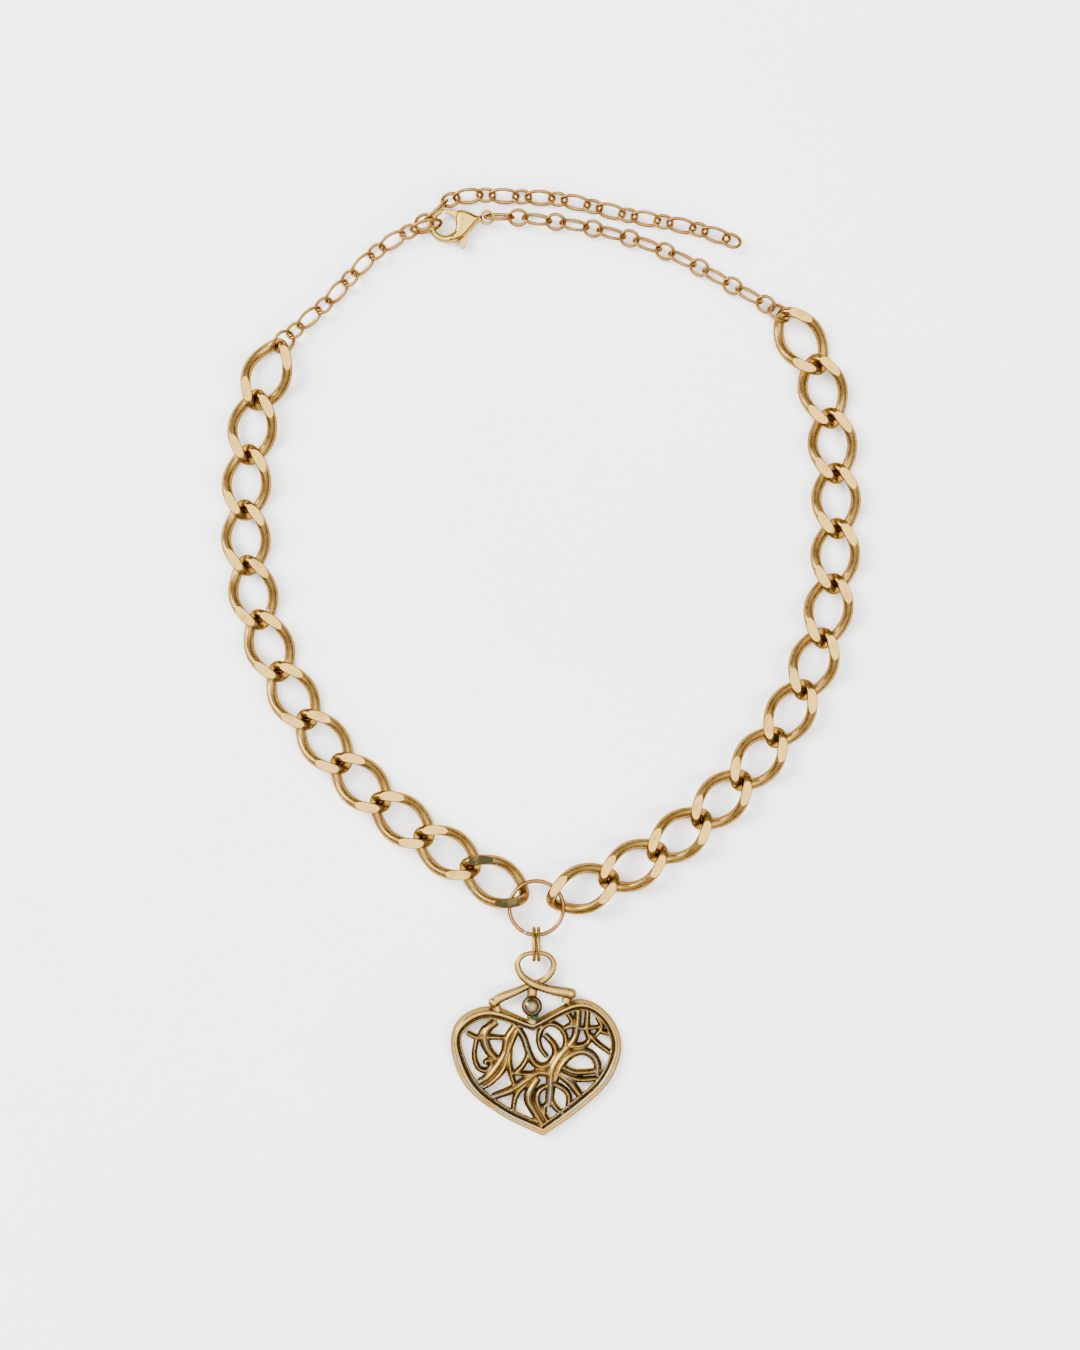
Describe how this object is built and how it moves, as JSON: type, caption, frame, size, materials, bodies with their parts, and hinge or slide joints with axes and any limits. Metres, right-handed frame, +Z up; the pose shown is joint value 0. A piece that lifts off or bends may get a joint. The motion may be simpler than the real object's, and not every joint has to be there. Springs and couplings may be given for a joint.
{
  "type": "pendant necklace",
  "caption": "Pendant necklace: a curb chain and a fine cable chain with a lobster clasp and extender, and an openwork heart hung from a centre ring by jump rings.",
  "frame": {"origin": "centre of the necklace's bounding box at table level, as it lies flat", "axes": "+Y towards the clasp, -Y towards the pendant's tip, +Z up from the table"},
  "size_m": [0.1381, 0.205, 0.0076],
  "materials": {
    "curb_gold": "satin plated curb links with polished flats",
    "cable_gold": "warm plated round wire",
    "clasp_gold": "bright polished plating",
    "antique_gold": "antiqued casting, dark in its recesses",
    "bead_silver": "worn silvery plating",
    "spring_steel": "bare spring wire"
  },
  "bodies": {
    "centre_ring": {"centre_ring": "cable_gold"},
    "curb_left_01": {"curb_left_01": "curb_gold"},
    "curb_right_01": {"curb_right_01": "curb_gold"},
    "curb_left_02": {"curb_left_02": "curb_gold"},
    "curb_right_02": {"curb_right_02": "curb_gold"},
    "curb_left_03": {"curb_left_03": "curb_gold"},
    "curb_right_03": {"curb_right_03": "curb_gold"},
    "curb_left_04": {"curb_left_04": "curb_gold"},
    "curb_right_04": {"curb_right_04": "curb_gold"},
    "curb_left_05": {"curb_left_05": "curb_gold"},
    "curb_right_05": {"curb_right_05": "curb_gold"},
    "curb_left_06": {"curb_left_06": "curb_gold"},
    "curb_right_06": {"curb_right_06": "curb_gold"},
    "curb_left_07": {"curb_left_07": "curb_gold"},
    "curb_right_07": {"curb_right_07": "curb_gold"},
    "curb_left_08": {"curb_left_08": "curb_gold"},
    "curb_right_08": {"curb_right_08": "curb_gold"},
    "curb_left_09": {"curb_left_09": "curb_gold"},
    "curb_right_09": {"curb_right_09": "curb_gold"},
    "curb_left_10": {"curb_left_10": "curb_gold"},
    "curb_right_10": {"curb_right_10": "curb_gold"},
    "curb_left_11": {"curb_left_11": "curb_gold"},
    "curb_right_11": {"curb_right_11": "curb_gold"},
    "curb_left_12": {"curb_left_12": "curb_gold"},
    "curb_right_12": {"curb_right_12": "curb_gold"},
    "join_ring_left": {"join_ring_left": "cable_gold"},
    "curb_right_13": {"curb_right_13": "curb_gold"},
    "cable_left_1": {"cable_left_1": "cable_gold"},
    "join_ring_right": {"join_ring_right": "cable_gold"},
    "cable_left_2": {"cable_left_2": "cable_gold"},
    "cable_right_1": {"cable_right_1": "cable_gold"},
    "cable_left_3": {"cable_left_3": "cable_gold"},
    "cable_right_2": {"cable_right_2": "cable_gold"},
    "cable_left_4": {"cable_left_4": "cable_gold"},
    "cable_right_3": {"cable_right_3": "cable_gold"},
    "hooked_end": {"cable_left_5": "cable_gold", "hooked_link": "cable_gold"},
    "cable_right_4": {"cable_right_4": "cable_gold"},
    "cable_right_5": {"cable_right_5": "cable_gold"},
    "cable_right_6": {"cable_right_6": "cable_gold"},
    "cable_right_7": {"cable_right_7": "cable_gold"},
    "cable_right_8": {"cable_right_8": "cable_gold"},
    "clasp_body": {"clasp_body": "clasp_gold", "clasp_pin": "clasp_gold", "clasp_spring": "spring_steel"},
    "clasp_lever": {"clasp_lever": "clasp_gold"},
    "extender_1": {"extender_1": "cable_gold"},
    "extender_2": {"extender_2": "cable_gold"},
    "extender_3": {"extender_3": "cable_gold"},
    "extender_4": {"extender_4": "cable_gold"},
    "extender_5": {"extender_5": "cable_gold"},
    "extender_6": {"extender_6": "cable_gold"},
    "extender_7": {"extender_7": "cable_gold"},
    "extender_8": {"extender_8": "cable_gold"},
    "extender_9": {"extender_9": "cable_gold"},
    "extender_end_ring": {"extender_end_ring": "cable_gold"},
    "jump_ring_left": {"jump_ring_left": "cable_gold"},
    "jump_ring_right": {"jump_ring_right": "cable_gold"},
    "pendant": {"pendant_frame": "antique_gold", "pendant_bead": "bead_silver"}
  },
  "joints": [
    {"name": "curb_left_01_slide", "type": "hinge", "parent": "centre_ring", "child": "curb_left_01", "pos_m": [-0.00098, -0.05314, 0.00234], "axis": [0, 0, 1], "range_deg": [-12, 12]},
    {"name": "curb_right_01_slide", "type": "hinge", "parent": "centre_ring", "child": "curb_right_01", "pos_m": [-0.00098, -0.05314, 0.00234], "axis": [0, 0, 1], "range_deg": [-12, 12]},
    {"name": "curb_left_02_fold", "type": "hinge", "parent": "curb_left_01", "child": "curb_left_02", "pos_m": [-0.00032, -0.04566, 0.00234], "axis": [0.9963, -0.0862, 0], "range_deg": [-10, 10]},
    {"name": "curb_right_02_fold", "type": "hinge", "parent": "curb_right_01", "child": "curb_right_02", "pos_m": [-0.00032, -0.04566, 0.00234], "axis": [0.9963, -0.0862, 0], "range_deg": [-10, 10]},
    {"name": "curb_left_03_fold", "type": "hinge", "parent": "curb_left_02", "child": "curb_left_03", "pos_m": [-0.0001, -0.03948, 0.00234], "axis": [0.9977, -0.0678, 0], "range_deg": [-10, 10]},
    {"name": "curb_right_03_fold", "type": "hinge", "parent": "curb_right_02", "child": "curb_right_03", "pos_m": [-0.0001, -0.03948, 0.00234], "axis": [0.9977, -0.0678, 0], "range_deg": [-10, 10]},
    {"name": "curb_left_04_fold", "type": "hinge", "parent": "curb_left_03", "child": "curb_left_04", "pos_m": [-0.00003, -0.03217, 0.00234], "axis": [0.9986, -0.0531, 0], "range_deg": [-10, 10]},
    {"name": "curb_right_04_fold", "type": "hinge", "parent": "curb_right_03", "child": "curb_right_04", "pos_m": [-0.00003, -0.03217, 0.00234], "axis": [0.9986, -0.0531, 0], "range_deg": [-10, 10]},
    {"name": "curb_left_05_fold", "type": "hinge", "parent": "curb_left_04", "child": "curb_left_05", "pos_m": [-0.00002, -0.0238, 0.00234], "axis": [0.9991, -0.0435, 0], "range_deg": [-10, 10]},
    {"name": "curb_right_05_fold", "type": "hinge", "parent": "curb_right_04", "child": "curb_right_05", "pos_m": [-0.00002, -0.0238, 0.00234], "axis": [0.9991, -0.0435, 0], "range_deg": [-10, 10]},
    {"name": "curb_left_06_fold", "type": "hinge", "parent": "curb_left_05", "child": "curb_left_06", "pos_m": [0.00004, -0.01443, 0.00234], "axis": [0.9993, -0.0384, 0], "range_deg": [-10, 10]},
    {"name": "curb_right_06_fold", "type": "hinge", "parent": "curb_right_05", "child": "curb_right_06", "pos_m": [0.00004, -0.01443, 0.00234], "axis": [0.9993, -0.0384, 0], "range_deg": [-10, 10]},
    {"name": "curb_left_07_fold", "type": "hinge", "parent": "curb_left_06", "child": "curb_left_07", "pos_m": [0.00008, -0.00411, 0.00234], "axis": [0.9994, -0.0353, 0], "range_deg": [-10, 10]},
    {"name": "curb_right_07_fold", "type": "hinge", "parent": "curb_right_06", "child": "curb_right_07", "pos_m": [0.00008, -0.00411, 0.00234], "axis": [0.9994, -0.0353, 0], "range_deg": [-10, 10]},
    {"name": "curb_left_08_fold", "type": "hinge", "parent": "curb_left_07", "child": "curb_left_08", "pos_m": [-0.00001, 0.00706, 0.00234], "axis": [0.9995, -0.0326, 0], "range_deg": [-10, 10]},
    {"name": "curb_right_08_fold", "type": "hinge", "parent": "curb_right_07", "child": "curb_right_08", "pos_m": [-0.00001, 0.00706, 0.00234], "axis": [0.9995, -0.0326, 0], "range_deg": [-10, 10]},
    {"name": "curb_left_09_fold", "type": "hinge", "parent": "curb_left_08", "child": "curb_left_09", "pos_m": [-0.00014, 0.01877, 0.00234], "axis": [0.9995, -0.0313, 0], "range_deg": [-10, 10]},
    {"name": "curb_right_09_fold", "type": "hinge", "parent": "curb_right_08", "child": "curb_right_09", "pos_m": [-0.00014, 0.01877, 0.00234], "axis": [0.9995, -0.0313, 0], "range_deg": [-10, 10]},
    {"name": "curb_left_10_fold", "type": "hinge", "parent": "curb_left_09", "child": "curb_left_10", "pos_m": [-0.00005, 0.0307, 0.00234], "axis": [0.9995, -0.0313, 0], "range_deg": [-10, 10]},
    {"name": "curb_right_10_fold", "type": "hinge", "parent": "curb_right_09", "child": "curb_right_10", "pos_m": [-0.00005, 0.0307, 0.00234], "axis": [0.9995, -0.0313, 0], "range_deg": [-10, 10]},
    {"name": "curb_left_11_fold", "type": "hinge", "parent": "curb_left_10", "child": "curb_left_11", "pos_m": [0.00022, 0.04264, 0.00234], "axis": [0.9995, -0.0317, 0], "range_deg": [-10, 10]},
    {"name": "curb_right_11_fold", "type": "hinge", "parent": "curb_right_10", "child": "curb_right_11", "pos_m": [0.00022, 0.04264, 0.00234], "axis": [0.9995, -0.0317, 0], "range_deg": [-10, 10]},
    {"name": "curb_left_12_fold", "type": "hinge", "parent": "curb_left_11", "child": "curb_left_12", "pos_m": [0.00049, 0.0545, 0.00234], "axis": [0.9995, -0.0322, 0], "range_deg": [-10, 10]},
    {"name": "curb_right_12_fold", "type": "hinge", "parent": "curb_right_11", "child": "curb_right_12", "pos_m": [0.00049, 0.0545, 0.00234], "axis": [0.9995, -0.0322, 0], "range_deg": [-10, 10]},
    {"name": "join_ring_left_fold", "type": "hinge", "parent": "curb_left_12", "child": "join_ring_left", "pos_m": [0.00131, 0.06577, 0.00234], "axis": [0.9996, -0.0294, 0], "range_deg": [-10, 10]},
    {"name": "curb_right_13_fold", "type": "hinge", "parent": "curb_right_12", "child": "curb_right_13", "pos_m": [0.00131, 0.06577, 0.00234], "axis": [0.9996, -0.0294, 0], "range_deg": [-10, 10]},
    {"name": "cable_left_1_fold", "type": "hinge", "parent": "join_ring_left", "child": "cable_left_1", "pos_m": [-0.00054, 0.07225, 0.00223], "axis": [0.9995, 0.033, 0.0021], "range_deg": [-10, 10]},
    {"name": "join_ring_right_fold", "type": "hinge", "parent": "curb_right_13", "child": "join_ring_right", "pos_m": [-0.00054, 0.07225, 0.00223], "axis": [0.9995, 0.033, 0.0021], "range_deg": [-10, 10]},
    {"name": "cable_left_2_fold", "type": "hinge", "parent": "cable_left_1", "child": "cable_left_2", "pos_m": [0.0009, 0.07613, 0.00194], "axis": [1, 0.0051, 0.0007], "range_deg": [-10, 10]},
    {"name": "cable_right_1_fold", "type": "hinge", "parent": "join_ring_right", "child": "cable_right_1", "pos_m": [0.0009, 0.07613, 0.00194], "axis": [1, 0.0051, 0.0007], "range_deg": [-10, 10]},
    {"name": "cable_left_3_fold", "type": "hinge", "parent": "cable_left_2", "child": "cable_left_3", "pos_m": [0.00021, 0.08104, 0.00183], "axis": [0.9999, -0.0154, 0.0001], "range_deg": [-10, 10]},
    {"name": "cable_right_2_fold", "type": "hinge", "parent": "cable_right_1", "child": "cable_right_2", "pos_m": [0.00021, 0.08104, 0.00183], "axis": [0.9999, -0.0154, 0.0001], "range_deg": [-10, 10]},
    {"name": "cable_left_4_fold", "type": "hinge", "parent": "cable_left_3", "child": "cable_left_4", "pos_m": [-0.00053, 0.08599, 0.00185], "axis": [0.999, -0.0446, -0.0005], "range_deg": [-10, 10]},
    {"name": "cable_right_3_fold", "type": "hinge", "parent": "cable_right_2", "child": "cable_right_3", "pos_m": [-0.00053, 0.08599, 0.00185], "axis": [0.999, -0.0446, -0.0005], "range_deg": [-10, 10]},
    {"name": "hooked_end_fold", "type": "hinge", "parent": "cable_left_4", "child": "hooked_end", "pos_m": [-0.00083, 0.09009, 0.00186], "axis": [0.9974, -0.0723, 0.0007], "range_deg": [-10, 10]},
    {"name": "cable_right_4_fold", "type": "hinge", "parent": "cable_right_3", "child": "cable_right_4", "pos_m": [-0.00083, 0.09009, 0.00186], "axis": [0.9974, -0.0723, 0.0007], "range_deg": [-10, 10]},
    {"name": "cable_right_5_roll", "type": "hinge", "parent": "cable_right_4", "child": "cable_right_5", "pos_m": [0.02055, 0.0909, 0.0019], "axis": [-0.9977, 0.0675, -0.0064], "range_deg": [0, 4]},
    {"name": "cable_right_6_roll", "type": "hinge", "parent": "cable_right_5", "child": "cable_right_6", "pos_m": [0.01268, 0.09313, 0.00187], "axis": [-0.9998, 0.0209, -0.0072], "range_deg": [0, 4]},
    {"name": "cable_right_7_roll", "type": "hinge", "parent": "cable_right_6", "child": "cable_right_7", "pos_m": [0.00466, 0.09471, 0.00182], "axis": [-0.9996, -0.0291, -0.0073], "range_deg": [0, 4]},
    {"name": "cable_right_8_roll", "type": "hinge", "parent": "cable_right_7", "child": "cable_right_8", "pos_m": [-0.00346, 0.09571, 0.00193], "axis": [-0.9958, -0.0901, -0.0156], "range_deg": [0, 4]},
    {"name": "clasp_roll", "type": "hinge", "parent": "cable_right_8", "child": "clasp_body", "pos_m": [-0.01162, 0.09589, 0.00161], "axis": [-0.9863, -0.165, 0], "range_deg": [0, 4]},
    {"name": "clasp_lever_open", "type": "hinge", "parent": "clasp_body", "child": "clasp_lever", "pos_m": [-0.01689, 0.09532, 0.00161], "axis": [0, 0, 1], "range_deg": [0, 14], "stiffness_Nm_per_rad": 0.00005, "springref_deg": -5.73, "deforming": ["clasp_spring"]},
    {"name": "extender_1_lift", "type": "hinge", "parent": "hooked_end", "child": "extender_1", "pos_m": [-0.02609, 0.09366, 0.00301], "axis": [0.7935, -0.6086, 0], "range_deg": [0, 8]},
    {"name": "extender_2_lift", "type": "hinge", "parent": "extender_1", "child": "extender_2", "pos_m": [-0.02072, 0.09911, 0.00212], "axis": [0.3868, -0.9222, 0], "range_deg": [-8, 14]},
    {"name": "extender_3_lift", "type": "hinge", "parent": "extender_2", "child": "extender_3", "pos_m": [-0.01321, 0.10073, 0.00194], "axis": [-0.0343, -0.9994, 0], "range_deg": [-8, 14]},
    {"name": "extender_4_lift", "type": "hinge", "parent": "extender_3", "child": "extender_4", "pos_m": [-0.00545, 0.10036, 0.00185], "axis": [-0.0344, -0.9994, 0], "range_deg": [-8, 14]},
    {"name": "extender_5_lift", "type": "hinge", "parent": "extender_4", "child": "extender_5", "pos_m": [0.00232, 0.09999, 0.00186], "axis": [-0.1242, -0.9923, 0], "range_deg": [-8, 14]},
    {"name": "extender_6_lift", "type": "hinge", "parent": "extender_5", "child": "extender_6", "pos_m": [0.00996, 0.09857, 0.00187], "axis": [-0.2592, -0.9658, 0], "range_deg": [-8, 14]},
    {"name": "extender_7_lift", "type": "hinge", "parent": "extender_6", "child": "extender_7", "pos_m": [0.01749, 0.09661, 0.00186], "axis": [-0.2029, -0.9792, 0], "range_deg": [-8, 14]},
    {"name": "extender_8_lift", "type": "hinge", "parent": "extender_7", "child": "extender_8", "pos_m": [0.02514, 0.09517, 0.00186], "axis": [-0.1781, -0.984, 0], "range_deg": [-8, 14]},
    {"name": "extender_9_lift", "type": "hinge", "parent": "extender_8", "child": "extender_9", "pos_m": [0.03275, 0.0936, 0.00186], "axis": [-0.2626, -0.9649, 0], "range_deg": [-8, 14]},
    {"name": "extender_end_ring_lift", "type": "hinge", "parent": "extender_9", "child": "extender_end_ring", "pos_m": [0.04017, 0.09127, 0.00186], "axis": [-0.3782, -0.9257, 0], "range_deg": [-8, 14]},
    {"name": "jump_ring_left_swing", "type": "hinge", "parent": "centre_ring", "child": "jump_ring_left", "pos_m": [-0.00098, -0.05897, 0.00234], "axis": [1, 0, 0], "range_deg": [-25, 25]},
    {"name": "jump_ring_right_swing", "type": "hinge", "parent": "centre_ring", "child": "jump_ring_right", "pos_m": [-0.00098, -0.05897, 0.00234], "axis": [1, 0, 0], "range_deg": [-25, 25]},
    {"name": "pendant_swing", "type": "hinge", "parent": "jump_ring_left", "child": "pendant", "pos_m": [-0.00098, -0.06269, 0.00251], "axis": [1, 0, 0], "range_deg": [-35, 35]}
  ],
  "couplings": [
    {"joint": "curb_right_01_slide", "follows": "curb_left_01_slide", "ratio": 1},
    {"joint": "curb_right_02_fold", "follows": "curb_left_02_fold", "ratio": 1},
    {"joint": "curb_right_03_fold", "follows": "curb_left_03_fold", "ratio": 1},
    {"joint": "curb_right_04_fold", "follows": "curb_left_04_fold", "ratio": 1},
    {"joint": "curb_right_05_fold", "follows": "curb_left_05_fold", "ratio": 1},
    {"joint": "curb_right_06_fold", "follows": "curb_left_06_fold", "ratio": 1},
    {"joint": "curb_right_07_fold", "follows": "curb_left_07_fold", "ratio": 1},
    {"joint": "curb_right_08_fold", "follows": "curb_left_08_fold", "ratio": 1},
    {"joint": "curb_right_09_fold", "follows": "curb_left_09_fold", "ratio": 1},
    {"joint": "curb_right_10_fold", "follows": "curb_left_10_fold", "ratio": 1},
    {"joint": "curb_right_11_fold", "follows": "curb_left_11_fold", "ratio": 1},
    {"joint": "curb_right_12_fold", "follows": "curb_left_12_fold", "ratio": 1},
    {"joint": "curb_right_13_fold", "follows": "join_ring_left_fold", "ratio": 1},
    {"joint": "join_ring_right_fold", "follows": "cable_left_1_fold", "ratio": 1},
    {"joint": "cable_right_1_fold", "follows": "cable_left_2_fold", "ratio": 1},
    {"joint": "cable_right_2_fold", "follows": "cable_left_3_fold", "ratio": 1},
    {"joint": "cable_right_3_fold", "follows": "cable_left_4_fold", "ratio": 1},
    {"joint": "cable_right_4_fold", "follows": "hooked_end_fold", "ratio": 1},
    {"joint": "jump_ring_right_swing", "follows": "jump_ring_left_swing", "ratio": 1}
  ]
}
